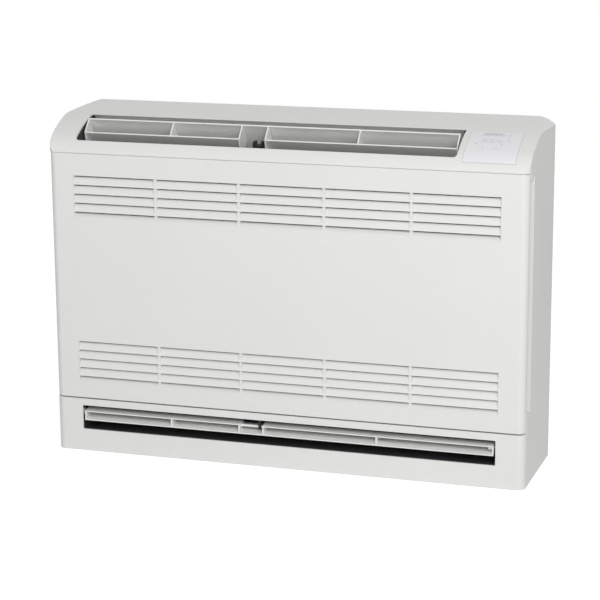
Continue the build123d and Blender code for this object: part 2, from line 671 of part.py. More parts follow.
with BuildPart() as lower_louvre:
    turned_slab(LOWER_VANE, -LOWER_LOUVRE_END, 2 * LOWER_LOUVRE_END)
    for x in LOWER_RIBS:
        turned_slab(LOWER_RIB, x - RIB_THICK / 2, RIB_THICK)
    plates = (
        -LOWER_LOUVRE_END,
        LOWER_GAP_RIBS[0] - RIB_THICK / 2,
        LOWER_GAP_RIBS[1] - RIB_THICK / 2,
        LOWER_LOUVRE_END - RIB_THICK,
    )
    for x in plates:
        turned_slab(LOWER_PLATE, x, RIB_THICK)
    rod_x(PIN_RADIUS, LOWER_GAP_RIBS[0], LOWER_GAP_RIBS[1] - LOWER_GAP_RIBS[0], LOWER_PIVOT)
    rod_x(PIN_RADIUS, -LOWER_LOUVRE_END - 8, 9, LOWER_PIVOT)
    rod_x(5, LOWER_LOUVRE_END - 10, 8, LOWER_PIVOT)
    turned_slab(LOWER_FRONT_VANE, LOWER_LOUVRE_END - 10, 8)
    rod_x(PIN_RADIUS, LOWER_LOUVRE_END - 9, 12, LOWER_PIVOT, mode=Mode.SUBTRACT)
lower_louvre.part.label = "lower_louvre"
export_step(lower_louvre.part, "parts/lower_louvre.step")

with BuildPart() as lower_front_vane_left:
    left_end = -LOWER_LOUVRE_END + RIB_THICK
    turned_slab(LOWER_FRONT_VANE, left_end, LOWER_GAP_RIBS[0] - RIB_THICK / 2 - left_end)
lower_front_vane_left.part.label = "lower_front_vane_left"
export_step(lower_front_vane_left.part, "parts/lower_front_vane_left.step")

with BuildPart() as lower_front_vane_right:
    left_end = LOWER_GAP_RIBS[1] + RIB_THICK / 2
    turned_slab(LOWER_FRONT_VANE, left_end, LOWER_LOUVRE_END - 10 - left_end)
lower_front_vane_right.part.label = "lower_front_vane_right"
export_step(lower_front_vane_right.part, "parts/lower_front_vane_right.step")

with BuildPart() as lower_louvre_shaft:
    rod_x(PIN_RADIUS, LOWER_LOUVRE_END - 9, LOWER_SHAFT_END - LOWER_LOUVRE_END + 9, LOWER_PIVOT)
lower_louvre_shaft.part.label = "lower_louvre_shaft"
export_step(lower_louvre_shaft.part, "parts/lower_louvre_shaft.step")

with BuildPart() as lower_bearing:
    slab(((-97.3, 69.3), (-97.3, 87), (-90, 88), (-88.3, 88.8), (-88.3, 69.3)), -47, 5)
    rod_x(4.5, -47, 5, LOWER_PIVOT)
    rod_x(PIN_RADIUS + RUNNING_FIT, -48, 7, LOWER_PIVOT, mode=Mode.SUBTRACT)
lower_bearing.part.label = "lower_bearing"
export_step(lower_bearing.part, "parts/lower_bearing.step")

with BuildPart() as lower_bush:
    rod_x(BUSH_RADIUS, -LOWER_DUCT_HALF - 3, 3, LOWER_PIVOT)
    rod_x(6.5, -LOWER_DUCT_HALF, 1.5, LOWER_PIVOT)
    rod_x(PIN_RADIUS + RUNNING_FIT, -LOWER_DUCT_HALF - 6, 12, LOWER_PIVOT, mode=Mode.SUBTRACT)
lower_bush.part.label = "lower_bush"
export_step(lower_bush.part, "parts/lower_bush.step")

with BuildPart() as lower_louvre_motor:
    louvre_motor(LOWER_DUCT_HALF + DUCT_WALL, LOWER_PIVOT)
lower_louvre_motor.part.label = "lower_louvre_motor"
export_step(lower_louvre_motor.part, "parts/lower_louvre_motor.step")

with BuildPart() as lower_duct:
    half = LOWER_DUCT_HALF + DUCT_WALL
    ceiling = [(-101.2, 86.5), (-90, 88), (-38, 116), (-37, 116), (-37, CHAMBER_BOTTOM)]
    slab(ceiling + [(-41, CHAMBER_BOTTOM), (-90.8, 90.2), (-101.2, 88.6)], -half, 2 * half)
    floor_line = [(-101.2, 38), (-40, 34), (30, 40), (66, 64), (84, 116), (84, CHAMBER_BOTTOM)]
    under_line = [(BACK_WALL_Y, CHAMBER_BOTTOM), (86, 115), (68, 63), (31, 38), (-40, 32)]
    slab(floor_line + under_line + [(-101.2, 36)], -half, 2 * half)
    sides = [(-101.2, 36), (-101.2, 88.6), (-90.8, 90.2), (-41, CHAMBER_BOTTOM)]
    for x in (-half, LOWER_DUCT_HALF):
        slab(sides + under_line, x, DUCT_WALL)
    bar((CHAMBER_RIGHT - 2, half), (-41, BACK_WALL_Y), (CHAMBER_BOTTOM - 2, CHAMBER_BOTTOM))
    rod_x(BUSH_RADIUS + RUNNING_FIT, -half - 1, 4, LOWER_PIVOT, mode=Mode.SUBTRACT)
    rod_x(4, LOWER_DUCT_HALF - 1, 4, LOWER_PIVOT, mode=Mode.SUBTRACT)
    with BuildSketch(side_plane(LOWER_DUCT_HALF - 1)):
        with Locations(*[(LOWER_PIVOT[0] + 8, LOWER_PIVOT[1] + side * 17.5) for side in (-1, 1)]):
            Circle(SCREW_RADIUS + RUNNING_FIT)
    extrude(amount=4, mode=Mode.SUBTRACT)
lower_duct.part.label = "lower_duct"
export_step(lower_duct.part, "parts/lower_duct.step")

with BuildPart() as louvre_motor_screws:
    for wall, pivot in ((DUCT_RIGHT, UPPER_PIVOT), (LOWER_DUCT_HALF, LOWER_PIVOT)):
        for side in (-1, 1):
            place = (pivot[0] + 8, pivot[1] + side * 17.5)
            rod_x(SCREW_RADIUS, wall + 0.2, 2.8, place)
            rod_x(3, wall + DUCT_WALL + 1, 1.6, place)
louvre_motor_screws.part.label = "louvre_motor_screws"
export_step(louvre_motor_screws.part, "parts/louvre_motor_screws.step")


# Intake side: frame with rails, two filters
FILTER_INNER = 3.5
FILTER_OUTER = 387.5
FILTER_FRONT_Y = -83.0
FILTER_THICK = 2.5
FILTER_Z = (113.5, 524.0)

with BuildPart() as intake_frame:
    bar((-394, 394), (FRAME_BACK_Y, -84.5), (108, 530))
    with BuildSketch(front_plane(-80)):
        with Locations((0, (FILTER_Z[0] + FILTER_Z[1]) / 2)):
            with GridLocations(95, 133, 8, 3):
                Rectangle(87, 125)
    extrude(amount=12, mode=Mode.SUBTRACT)
    for low, high in ((-392, -384), (-6, 6), (384, 392)):
        bar((low, high), (-84.5, -79), (112, 526))
    for side in (-1, 1):
        for low, high in ((3, 7), (383, 388)):
            ends = sorted((side * low, side * high))
            bar(ends, (-83.3, -80.2), FILTER_Z, mode=Mode.SUBTRACT)
intake_frame.part.label = "intake_frame"
export_step(intake_frame.part, "parts/intake_frame.step")


def air_filter(side):
    """Filter frame with a coarse grid that carries the mesh."""
    width = FILTER_OUTER - FILTER_INNER
    middle = side * (FILTER_OUTER + FILTER_INNER) / 2
    height = FILTER_Z[1] - FILTER_Z[0] - 0.6
    with BuildSketch(front_plane(FILTER_FRONT_Y + FILTER_THICK)) as grid:
        with Locations((middle, (FILTER_Z[0] + FILTER_Z[1]) / 2)):
            Rectangle(width, height)
            with GridLocations(46, 44, 8, 9):
                Rectangle(43, 41, mode=Mode.SUBTRACT)
    extrude(grid.sketch, amount=FILTER_THICK)


with BuildPart() as filter_left:
    air_filter(-1)
filter_left.part.label = "filter_left"
export_step(filter_left.part, "parts/filter_left.step")

with BuildPart() as filter_right:
    air_filter(1)
filter_right.part.label = "filter_right"
export_step(filter_right.part, "parts/filter_right.step")


# Evaporator: fin block, two end plates, tubes with return bends
TUBE_ROWS = [TUBE_FIRST_Z + row * TUBE_PITCH for row in range(TUBE_COUNT)]

with BuildPart() as coil_fins:
    bar((COIL_LEFT, COIL_RIGHT), (COIL_FRONT_Y, COIL_BACK_Y), (COIL_BOTTOM, COIL_TOP))
    with BuildSketch(side_plane(COIL_LEFT)):
        with Locations(*[(TUBE_Y, z) for z in TUBE_ROWS]):
            Circle(TUBE_RADIUS + RUNNING_FIT)
    extrude(amount=COIL_RIGHT - COIL_LEFT, mode=Mode.SUBTRACT)
    with Locations(((COIL_LEFT + COIL_RIGHT) / 2, COIL_FRONT_Y, (COIL_BOTTOM + COIL_TOP) / 2)):
        with GridLocations(12, 1, 53, 1):
            Box(6, 4, COIL_TOP - COIL_BOTTOM, mode=Mode.SUBTRACT)
coil_fins.part.label = "coil_fins"
export_step(coil_fins.part, "parts/coil_fins.step")

with BuildPart() as coil_end_plates:
    for x in (COIL_LEFT - 2, COIL_RIGHT):
        bar((x, x + 2), (COIL_FRONT_Y - 1, MOUTH_PLATE_Y), (COIL_BOTTOM, COIL_TOP))
        with BuildSketch(side_plane(x)):
            with Locations(*[(TUBE_Y, z) for z in TUBE_ROWS]):
                Circle(TUBE_RADIUS + RUNNING_FIT)
        extrude(amount=2, mode=Mode.SUBTRACT)
coil_end_plates.part.label = "coil_end_plates"
export_step(coil_end_plates.part, "parts/coil_end_plates.step")

with BuildPart() as coil_tubes:
    for z in TUBE_ROWS:
        rod_x(TUBE_RADIUS, COIL_LEFT - 2, COIL_RIGHT - COIL_LEFT + 4, (TUBE_Y, z))
    for row in range(TUBE_COUNT - 1):
        right_side = row % 2 == 0
        x = COIL_RIGHT + 2 if right_side else COIL_LEFT - 2
        with BuildSketch(side_plane(x)):
            with Locations((TUBE_Y, TUBE_ROWS[row])):
                Circle(TUBE_RADIUS)
        turn_z = TUBE_ROWS[row] + TUBE_PITCH / 2
        direction = (0, -1, 0) if right_side else (0, 1, 0)
        revolve(axis=Axis((x, TUBE_Y, turn_z), direction), revolution_arc=180)
coil_tubes.part.label = "coil_tubes"
export_step(coil_tubes.part, "parts/coil_tubes.step")

with BuildPart() as drain_pan:
    bar((-379, 296), (-78.5, MOUTH_PLATE_Y), (119, 141))
    bar((-377, 294), (-76.5, MOUTH_PLATE_Y - 2), (121, 142), mode=Mode.SUBTRACT)
    for x in (-300, -100, 100, 200):
        bar((x, x + 4), (-76.5, MOUTH_PLATE_Y - 2), (121, COIL_BOTTOM))
    for x in (COIL_LEFT - 2, COIL_RIGHT):
        bar((x - 0.3, x + 2.3), (-43, -39), (COIL_BOTTOM - 0.3, 142), mode=Mode.SUBTRACT)
    rod_x(5, 290, 8, (-60, 130), mode=Mode.SUBTRACT)
drain_pan.part.label = "drain_pan"
export_step(drain_pan.part, "parts/drain_pan.step")

with BuildPart() as drain_socket:
    rod_x(8, 296, 4, (-60, 130))
    rod_x(6.5, 300, 14, (-60, 130))
    rod_x(4.95, 294, 2, (-60, 130))
    rod_x(4, 290, 26, (-60, 130), mode=Mode.SUBTRACT)
drain_socket.part.label = "drain_socket"
export_step(drain_socket.part, "parts/drain_socket.step")

with BuildPart() as thermistor:
    rod_x(1.8, 200, 30, (COIL_FRONT_Y - 1.8, 310))
thermistor.part.label = "thermistor"
export_step(thermistor.part, "parts/thermistor.step")


# Refrigerant pipes and their flare nuts in the left column
def pipe(radius, points, bend):
    """Round pipe along a line with rounded corners."""
    with BuildLine() as route:
        FilletPolyline(*points, radius=bend)
    with BuildSketch(Plane(origin=route.line @ 0, z_dir=route.line % 0)) as section:
        Circle(radius)
    sweep(section.sketch, path=route.line)


LIQUID_X = -389.5
GAS_X = -395.0

with BuildPart() as liquid_pipe:
    start = (COIL_LEFT - 2, TUBE_Y, TUBE_ROWS[0])
    turn = (LIQUID_X, TUBE_Y, TUBE_ROWS[0])
    pipe(3.2, (start, turn, (LIQUID_X, TUBE_Y, 45), (LIQUID_X, 40, 45)), 12)
liquid_pipe.part.label = "liquid_pipe"
export_step(liquid_pipe.part, "parts/liquid_pipe.step")

with BuildPart() as gas_pipe:
    start = (COIL_LEFT - 2, TUBE_Y, TUBE_ROWS[-1])
    turn = (GAS_X, TUBE_Y, TUBE_ROWS[-1])
    pipe(4.8, (start, turn, (GAS_X, -20, TUBE_ROWS[-1]), (GAS_X, -20, 78), (GAS_X, 40, 78)), 14)
gas_pipe.part.label = "gas_pipe"
export_step(gas_pipe.part, "parts/gas_pipe.step")

with BuildPart() as flare_nuts:
    for x, z, across, bore in ((LIQUID_X, 45, 17, 3.2), (GAS_X, 78, 20, 4.8)):
        with BuildSketch(front_plane(46)):
            with Locations((x, z)):
                RegularPolygon(across / 2, 6, major_radius=False)
                Circle(bore + RUNNING_FIT, mode=Mode.SUBTRACT)
        extrude(amount=16)
flare_nuts.part.label = "flare_nuts"
export_step(flare_nuts.part, "parts/flare_nuts.step")


# Bell mouth plate in front of the fan
with BuildPart() as bell_mouth:
    bar(
        (CHAMBER_LEFT - CHASSIS_WALL, CHAMBER_RIGHT + CHASSIS_WALL),
        (MOUTH_PLATE_Y, MOUTH_PLATE_Y + MOUTH_PLATE_THICK),
        (CHAMBER_BOTTOM, CHAMBER_TOP),
    )
    rod_y(MOUTH_RADIUS + 2, -38, -26, [(FAN_X, FAN_Z)])
    rod_y(MOUTH_RADIUS, -50, -20, [(FAN_X, FAN_Z)], mode=Mode.SUBTRACT)
    mouth_edge = bell_mouth.edges().filter_by(GeomType.CIRCLE).sort_by(Axis.Y)[0]
    fillet(mouth_edge, 2.5)
bell_mouth.part.label = "bell_mouth"
export_step(bell_mouth.part, "parts/bell_mouth.step")


# Turbo fan: hub cone, backward curved blades and shroud
FAN_PLANE = Plane(origin=(FAN_X, 0, FAN_Z), x_dir=(1, 0, 0), z_dir=(0, 0, 1))
FAN_AXIS = Axis((FAN_X, 0, FAN_Z), (0, 1, 0))
HUB_OUTLINE = ((16, -4), (16, 2), (118, 31), (170, 33), (170, 35.5), (117, 33.6), (16, 5), (16, 20))


def blade_outline():
    """One blade in the plane across the fan axis: thick at the eye, thin at the rim."""
    with BuildSketch() as outline:
        with BuildLine():
            inner = (98.0, 0.0)
            outer = (FAN_RADIUS * cos(radians(-46)), FAN_RADIUS * sin(radians(-46)))
            upper = ThreePointArc(inner, (131 * cos(radians(-16)), 131 * sin(radians(-16))), outer)
            inner_low = (99.0 * cos(radians(-3)), 99.0 * sin(radians(-3)))
            outer_low = (167.5 * cos(radians(-46.6)), 167.5 * sin(radians(-46.6)))
            lower = ThreePointArc(
                inner_low, (128 * cos(radians(-18.2)), 128 * sin(radians(-18.2))), outer_low
            )
            Line(upper @ 0, lower @ 0)
            Line(upper @ 1, lower @ 1)
        make_face()
    return outline.sketch


with BuildPart() as fan:
    blade = blade_outline()
    with BuildSketch(front_plane(34)):
        with Locations((FAN_X, FAN_Z)):
            with PolarLocations(0, FAN_BLADES):
                add(blade)
    extrude(amount=68)
    with BuildSketch(FAN_PLANE):
        with BuildLine():
            Polyline((170, -11), (170, 34), (117, 32), (90, 24), (90, -18), (107, -22), (109, -30))
            ThreePointArc((109, -30), (120.3, -19.3), (170, -11))
        make_face()
    revolve(axis=FAN_AXIS, mode=Mode.INTERSECT)
    bore = SHAFT_RADIUS + RUNNING_FIT
    with BuildSketch(FAN_PLANE):
        with BuildLine():
            Polyline((bore, -4), *HUB_OUTLINE, (bore, 20), close=True)
        make_face()
    revolve(axis=FAN_AXIS)
    with BuildSketch(FAN_PLANE):
        with BuildLine():
            Line((EYE_RADIUS, -36), (EYE_RADIUS, -30))
            ThreePointArc((EYE_RADIUS, -30), (119.5, -18.3), (170, -10))
            Line((170, -10), (170, -12))
            ThreePointArc((170, -12), (121, -20.2), (EYE_RADIUS + 2, -30))
            Polyline((EYE_RADIUS + 2, -30), (EYE_RADIUS + 2, -36), (EYE_RADIUS, -36))
        make_face()
    revolve(axis=FAN_AXIS)
fan.part.label = "fan"
export_step(fan.part, "parts/fan.step")

with BuildPart() as fan_shaft:
    rod_y(SHAFT_RADIUS, -13, 74, [(FAN_X, FAN_Z)])
fan_shaft.part.label = "fan_shaft"
export_step(fan_shaft.part, "parts/fan_shaft.step")

with BuildPart() as fan_nut:
    with BuildSketch(front_plane(-4)):
        with Locations((FAN_X, FAN_Z)):
            RegularPolygon(8.5, 6, major_radius=False)
            Circle(SHAFT_RADIUS + RUNNING_FIT, mode=Mode.SUBTRACT)
    extrude(amount=7)
fan_nut.part.label = "fan_nut"
export_step(fan_nut.part, "parts/fan_nut.step")

MOTOR_FRONT_Y = 24.0
MOTOR_BACK_Y = 76.0
MOTOR_RADIUS = 58.0
BRACKET_HOLES = [(FAN_X + x, FAN_Z + z) for x in (-65, 65) for z in (-65, 65)]

with BuildPart() as fan_motor:
    rod_y(MOTOR_RADIUS, MOTOR_FRONT_Y, MOTOR_BACK_Y, [(FAN_X, FAN_Z)])
    fillet(fan_motor.edges().filter_by(GeomType.CIRCLE), 4)
    rod_y(SHAFT_RADIUS + RUNNING_FIT, MOTOR_FRONT_Y - 1, 75, [(FAN_X, FAN_Z)], mode=Mode.SUBTRACT)
fan_motor.part.label = "fan_motor"
export_step(fan_motor.part, "parts/fan_motor.step")

with BuildPart() as motor_cushion:
    rod_y(45, MOTOR_BACK_Y, MOTOR_BACK_Y + 2, [(FAN_X, FAN_Z)])
    rod_y(30, MOTOR_BACK_Y - 1, MOTOR_BACK_Y + 3, [(FAN_X, FAN_Z)], mode=Mode.SUBTRACT)
motor_cushion.part.label = "motor_cushion"
export_step(motor_cushion.part, "parts/motor_cushion.step")

with BuildPart() as motor_bracket:
    with BuildSketch(front_plane(MOTOR_BACK_Y + 4)):
        with Locations((FAN_X, FAN_Z)):
            RectangleRounded(150, 150, 12)
            Circle(22, mode=Mode.SUBTRACT)
        with Locations(*BRACKET_HOLES):
            Circle(SCREW_RADIUS + SEAT_GAP, mode=Mode.SUBTRACT)
    extrude(amount=2)
motor_bracket.part.label = "motor_bracket"
export_step(motor_bracket.part, "parts/motor_bracket.step")

with BuildPart() as motor_bracket_screws:
    rod_y(SCREW_RADIUS, MOTOR_BACK_Y + 2, MOTOR_BACK_Y + 8, BRACKET_HOLES)
    rod_y(SCREW_HEAD_RADIUS, MOTOR_BACK_Y + 2 - SCREW_HEAD, MOTOR_BACK_Y + 2, BRACKET_HOLES)
motor_bracket_screws.part.label = "motor_bracket_screws"
export_step(motor_bracket_screws.part, "parts/motor_bracket_screws.step")


# Chassis: back wall and rim, floor, side plates, chamber walls and scroll guides
BOX_X = (306.0, 398.0)
BOX_Y = (-66.0, 62.0)
BOX_Z = (140.0, 430.0)
BOX_SCREWS = [(330.0, 170.0), (375.0, 400.0)]
HOOK_X = 255.0
HOOK_HALF_WIDTH = 16.0

with BuildPart() as chassis:
    half = CHASSIS_HALF_WIDTH
    bar((-half, half), (BACK_WALL_Y, WALL_Y), (0, CHASSIS_TOP))
    inner = half - BACK_WALL_THICK
    bar((-inner, inner), (BACK_WALL_Y + BACK_WALL_THICK, 120), (3, CHASSIS_TOP - 3), mode=Mode.SUBTRACT)
    bar((-412, 412), (-100, BACK_WALL_Y), (0, 3))
    for side in (-1, 1):
        plate = sorted((side * SIDE_PLATE_X, side * (SIDE_PLATE_X + CHASSIS_WALL)))
        bar(plate, (-58, BACK_WALL_Y), (3, 540))
        for z in (104.0, 519.0):
            boss = sorted((side * 395.0, side * 405.0))
            bar(boss, (FRAME_BACK_Y, -50), (z - 6, z + 6))
            bridge = sorted((side * 400.0, side * 410.0))
            bar(bridge, (-58, -50), (z - 6, z + 6))
    chamber_front = MOUTH_PLATE_Y + MOUTH_PLATE_THICK
    for x in (CHAMBER_LEFT - CHASSIS_WALL, CHAMBER_RIGHT):
        bar((x, x + CHASSIS_WALL), (chamber_front, BACK_WALL_Y), (CHAMBER_BOTTOM, CHAMBER_TOP))
    with BuildSketch(front_plane(BACK_WALL_Y)):
        for end_x, bulge_x in ((CHAMBER_LEFT, -236.0), (CHAMBER_RIGHT, 156.0)):
            thick = CHASSIS_WALL if end_x < 0 else -CHASSIS_WALL
            with BuildLine() as face_line:
                outer = ThreePointArc((end_x, 122), (bulge_x, FAN_Z), (end_x, 471))
                inner_arc = ThreePointArc((end_x, 130), (bulge_x - thick, FAN_Z), (end_x, 463))
                Line(outer @ 0, inner_arc @ 0)
                Line(outer @ 1, inner_arc @ 1)
            make_face(face_line.line)
    extrude(amount=BACK_WALL_Y - chamber_front - 0.5)
    rod_y(6, MOTOR_BACK_Y + 4, BACK_WALL_Y, BRACKET_HOLES)
    rod_y(6, BOX_Y[1], BACK_WALL_Y, BOX_SCREWS)
    bar((-204, -200), (-44, -36), (3, 32))
    bar((200, 204), (-44, -36), (3, 32))
    for side in (-1, 1):
        slot = (side * HOOK_X - HOOK_HALF_WIDTH - 1, side * HOOK_X + HOOK_HALF_WIDTH + 1)
        bar(slot, (80, 95), (500, 508.1), mode=Mode.SUBTRACT)
    rod_y(SCREW_RADIUS + RUNNING_FIT, -90, -70, CASING_SCREWS, mode=Mode.SUBTRACT)
    rod_y(SCREW_RADIUS + RUNNING_FIT, 70, 85, BRACKET_HOLES, mode=Mode.SUBTRACT)
    rod_y(SCREW_RADIUS + RUNNING_FIT, 60, 78, BOX_SCREWS, mode=Mode.SUBTRACT)
chassis.part.label = "chassis"
export_step(chassis.part, "parts/chassis.step")

with BuildPart() as casing_screws:
    rod_y(SCREW_RADIUS, POCKET_Y, -72, CASING_SCREWS)
    rod_y(SCREW_HEAD_RADIUS, POCKET_Y - SCREW_HEAD, POCKET_Y, CASING_SCREWS)
casing_screws.part.label = "casing_screws"
export_step(casing_screws.part, "parts/casing_screws.step")

# Wall bracket with two hooks that reach through the back wall
BRACKET_SPACING = 500.0
BRACKET_ROWS = 70.0
BRACKET_MIDDLE_Z = 485.0
BRACKET_HOLE_RADIUS = 3.0

with BuildPart() as wall_bracket:
    bar((-320, 320), (WALL_Y - SHEET, WALL_Y), (430, 540))
    for side in (-1, 1):
        tab = (side * HOOK_X - HOOK_HALF_WIDTH, side * HOOK_X + HOOK_HALF_WIDTH)
        bar(tab, (83.6, WALL_Y - SHEET), (506.2, 507.8))
        bar(tab, (83.6, 85.2), (506.2, 516))
    with BuildSketch(front_plane(WALL_Y)):
        with Locations((0, BRACKET_MIDDLE_Z)):
            with GridLocations(BRACKET_SPACING, BRACKET_ROWS, 2, 2):
                Circle(BRACKET_HOLE_RADIUS)
    extrude(amount=SHEET, mode=Mode.SUBTRACT)
wall_bracket.part.label = "wall_bracket"
export_step(wall_bracket.part, "parts/wall_bracket.step")


# Electrical box in the right column
with BuildPart() as control_box:
    bar(BOX_X, BOX_Y, BOX_Z)
    bar(
        (BOX_X[0] + 1.2, BOX_X[1] - 1.2),
        (BOX_Y[0] - 1, BOX_Y[1] - 1.2),
        (BOX_Z[0] + 1.2, BOX_Z[1] - 1.2),
        mode=Mode.SUBTRACT,
    )
    rod_y(SCREW_RADIUS + SEAT_GAP, 55, 65, BOX_SCREWS, mode=Mode.SUBTRACT)
control_box.part.label = "control_box"
export_step(control_box.part, "parts/control_box.step")

with BuildPart() as control_box_cover:
    bar(BOX_X, (BOX_Y[0] - 1.2, BOX_Y[0]), BOX_Z)
control_box_cover.part.label = "control_box_cover"
export_step(control_box_cover.part, "parts/control_box_cover.step")

with BuildPart() as control_box_screws:
    rod_y(SCREW_RADIUS, BOX_Y[1] - 1.2, 76, BOX_SCREWS)
    rod_y(SCREW_HEAD_RADIUS, BOX_Y[1] - 1.2 - SCREW_HEAD, BOX_Y[1] - 1.2, BOX_SCREWS)
control_box_screws.part.label = "control_box_screws"
export_step(control_box_screws.part, "parts/control_box_screws.step")

with BuildPart() as control_board:
    bar((314, 390), (40, 41.6), (185, 385))
    standoffs = [(x, z) for x in (320, 384) for z in (192, 378)]
    rod_y(3, 41.6, BOX_Y[1] - 1.2, standoffs)
    bar((322, 350), (10, 40), (300, 340))
    bar((355, 380), (20, 40), (210, 250))
    rod_y(9, 12, 40, [(335, 215), (335, 240)])
control_board.part.label = "control_board"
export_step(control_board.part, "parts/control_board.step")

with BuildPart() as terminal_block:
    bar((318, 386), (-55, -35), (BOX_Z[0] + 1.2, 160))
    for x in range(325, 386, 12):
        bar((x - 4, x + 4), (-56, -42), (150, 161), mode=Mode.SUBTRACT)
terminal_block.part.label = "terminal_block"
export_step(terminal_block.part, "parts/terminal_block.step")
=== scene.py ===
# %% [markdown]
# This lesson dresses a floor console air conditioner: a low white cabinet that
# takes in room air through a slatted front and blows it out above and below.
# The moving and fixed parts come as a ready frame, at their real size in metres.
# Here they get their finishes, their small printed and woven details, soft
# studio light and a camera.

# %% Load the frame
import json
import math

import bpy
from mathutils import Matrix, Vector


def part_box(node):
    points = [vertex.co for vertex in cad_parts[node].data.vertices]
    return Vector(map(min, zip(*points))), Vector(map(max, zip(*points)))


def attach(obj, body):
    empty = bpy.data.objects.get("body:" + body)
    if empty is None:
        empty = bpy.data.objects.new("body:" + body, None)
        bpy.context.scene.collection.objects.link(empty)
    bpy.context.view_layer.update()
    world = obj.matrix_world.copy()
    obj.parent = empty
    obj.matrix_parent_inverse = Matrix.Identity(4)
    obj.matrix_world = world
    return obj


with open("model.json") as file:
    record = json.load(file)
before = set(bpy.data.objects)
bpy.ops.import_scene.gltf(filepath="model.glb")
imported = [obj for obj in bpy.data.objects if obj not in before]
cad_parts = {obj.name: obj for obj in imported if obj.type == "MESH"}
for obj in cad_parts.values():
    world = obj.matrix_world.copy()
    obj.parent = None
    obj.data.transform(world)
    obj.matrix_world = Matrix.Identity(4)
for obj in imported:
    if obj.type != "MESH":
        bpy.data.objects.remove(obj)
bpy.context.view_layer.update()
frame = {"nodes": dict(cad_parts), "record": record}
nodes = frame["nodes"]
for item in bpy.context.selected_objects:
    item.select_set(False)
print("pieces in the frame:", len(nodes))

# %% [markdown]
# The picture is square and was taken from a little above and to the right, with
# a long lens. A camera in Blender looks along its own negative Z axis, so its
# turn is a matrix of three directions: right, up and backwards.

# %% Camera
CAMERA_PLACE = Vector((1.0047, -3.2436, 1.1309))
CAMERA_YAW = math.radians(17.195)
CAMERA_PITCH = math.radians(13.529)
CAMERA_ROLL = math.radians(-0.401)
LENS_MM = 119.34
SENSOR_MM = 36.0
PICTURE_SHIFT = -20.0 / 600.0

forward = Vector(
    (
        -math.sin(CAMERA_YAW) * math.cos(CAMERA_PITCH),
        math.cos(CAMERA_YAW) * math.cos(CAMERA_PITCH),
        -math.sin(CAMERA_PITCH),
    )
)
level = Vector((math.cos(CAMERA_YAW), math.sin(CAMERA_YAW), 0.0))
upright = level.cross(forward)
right = level * math.cos(CAMERA_ROLL) + upright * math.sin(CAMERA_ROLL)
up = upright * math.cos(CAMERA_ROLL) - level * math.sin(CAMERA_ROLL)

camera_data = bpy.data.cameras.new("camera")
camera_data.lens = LENS_MM
camera_data.sensor_width = SENSOR_MM
camera_data.shift_y = PICTURE_SHIFT
camera_data.clip_end = 100.0
camera = bpy.data.objects.new("camera", camera_data)
bpy.context.scene.collection.objects.link(camera)
turn = Matrix((right, up, -forward)).transposed().to_4x4()
camera.matrix_world = Matrix.Translation(CAMERA_PLACE) @ turn
bpy.context.scene.camera = camera
bpy.context.scene.view_settings.view_transform = "Standard"
print("camera at", tuple(round(v, 3) for v in CAMERA_PLACE))

# %% [markdown]
# A finish is a small network of nodes. Long networks are hard to read as node
# calls, so one class wraps an output socket and lets ordinary arithmetic add
# the Math nodes. The recipe class below holds one material and adds any other
# node by its type, its settings and the values of its sockets.


# %% Shader helpers
class Wire:
    """An output socket that can be added, subtracted and multiplied."""

    def __init__(self, recipe, socket):
        self.recipe = recipe
        self.socket = socket

    def maths(self, operation, first, second):
        return self.recipe.node("ShaderNodeMath", {"operation": operation}, {0: first, 1: second})

    def __add__(self, other):
        return self.maths("ADD", self, other)

    def __radd__(self, other):
        return self.maths("ADD", other, self)

    def __sub__(self, other):
        return self.maths("SUBTRACT", self, other)

    def __rsub__(self, other):
        return self.maths("SUBTRACT", other, self)

    def __mul__(self, other):
        return self.maths("MULTIPLY", self, other)

    def __rmul__(self, other):
        return self.maths("MULTIPLY", other, self)

    def __gt__(self, other):
        return self.maths("GREATER_THAN", self, other)

    def wave(self):
        """Sine of the value."""
        return self.recipe.node("ShaderNodeMath", {"operation": "SINE"}, {0: self})


class Recipe:
    """One node material, built up from its object coordinates."""

    def __init__(self, name):
        self.material = bpy.data.materials.new(name)
        self.material.use_nodes = True
        self.tree = self.material.node_tree
        self.shader = self.tree.nodes["Principled BSDF"]
        self.place = self.node("ShaderNodeTexCoord", output="Object")

    def node(self, kind, settings=None, inputs=None, output=0):
        new = self.tree.nodes.new(kind)
        for key, value in (settings or {}).items():
            setattr(new, key, value)
        for key, value in (inputs or {}).items():
            self.put(new.inputs[key], value)
        return Wire(self, new.outputs[output])

    def put(self, socket, value):
        if isinstance(value, Wire):
            self.tree.links.new(value.socket, socket)
        else:
            socket.default_value = value

    def set(self, **values):
        for key, value in values.items():
            self.put(self.shader.inputs[key.replace("_", " ")], value)
        return self

    def noise(self, scale, detail=2.0):
        return self.node(
            "ShaderNodeTexNoise", inputs={"Vector": self.place, "Scale": scale, "Detail": detail}
        )

    def blend(self, factor, first, second):
        mix = self.tree.nodes.new("ShaderNodeMix")
        mix.data_type = "RGBA"
        self.put(mix.inputs["Factor"], factor)
        self.put(mix.inputs["A"], (*first, 1.0))
        self.put(mix.inputs["B"], (*second, 1.0))
        colour_out = [out for out in mix.outputs if out.type == "RGBA"][0]
        return Wire(self, colour_out)

    def axis(self, name):
        return self.node("ShaderNodeSeparateXYZ", inputs={0: self.place}, output=name)

    def bump(self, height, strength, distance, edge_radius=0.0):
        inputs = {"Height": height, "Strength": strength, "Distance": distance}
        if edge_radius:
            edge = self.node("ShaderNodeBevel", {"samples": 4}, {"Radius": edge_radius})
            inputs["Normal"] = edge
        return self.node("ShaderNodeBump", inputs=inputs)


def shade(colour, factor):
    """The same colour, darker or lighter."""
    return tuple(min(1.0, part * factor) for part in colour)


print("shader helpers ready")

